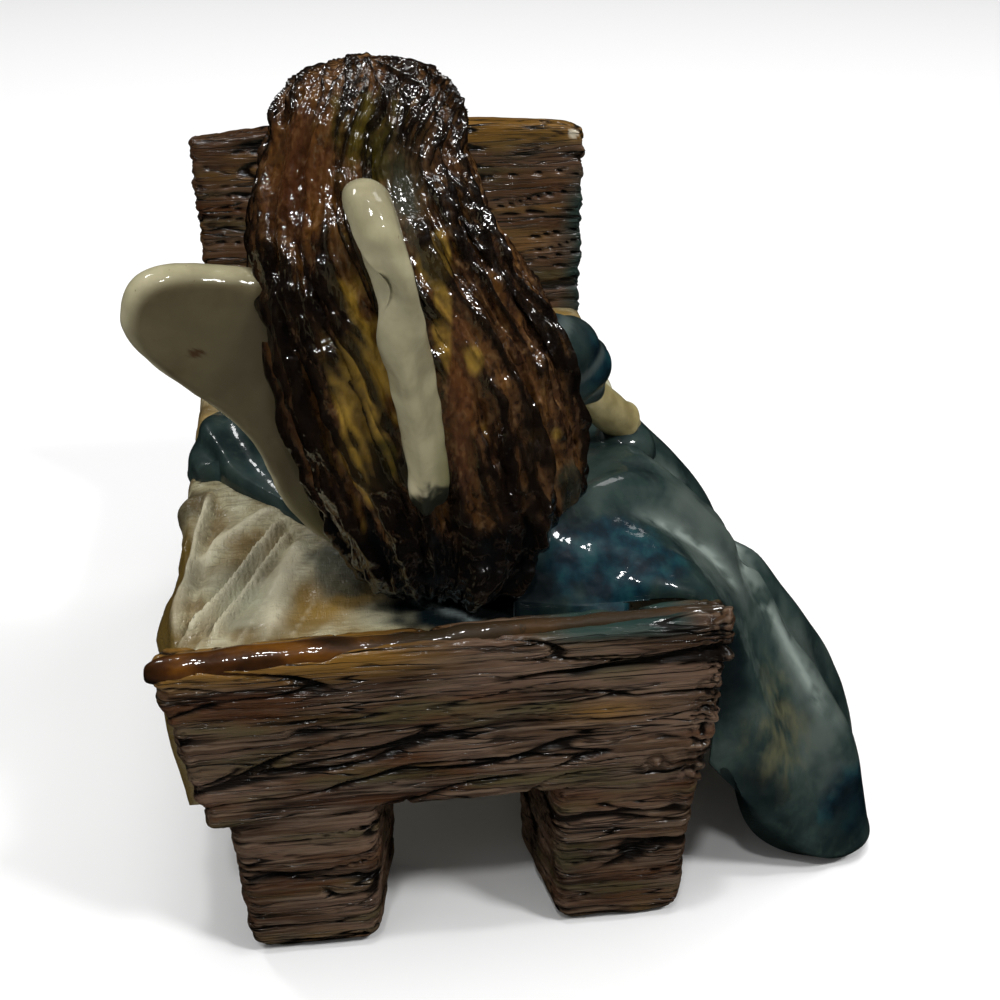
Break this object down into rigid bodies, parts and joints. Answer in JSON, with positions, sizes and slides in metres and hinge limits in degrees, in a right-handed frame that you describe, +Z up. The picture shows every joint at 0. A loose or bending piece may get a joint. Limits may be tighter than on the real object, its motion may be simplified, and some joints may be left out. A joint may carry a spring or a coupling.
{
  "type": "angel figurine",
  "caption": "Seated long-haired angel with short wings, her gown spilling over the side of a small plank bed; fired clay in one piece.",
  "frame": {"origin": "middle of the bounding box, on the floor under the feet of the bed", "axes": "+X to the side the gown hangs over, +Y from the low foot board to the tall head board, +Z up"},
  "size_m": [0.1724, 0.1928, 0.1898],
  "materials": {
    "wood_glaze": "satin iron-brown glaze on combed grain",
    "hair_glaze": "gloss iron-brown glaze",
    "gown_glaze": "gloss teal glaze",
    "spread_glaze": "semi-matt cream and ochre glaze",
    "wing_glaze": "gloss white glaze",
    "skin_glaze": "clear gloss glaze over buff clay"
  },
  "bodies": {
    "root": {"angel_figurine": "wood_glaze"}
  },
  "joints": []
}
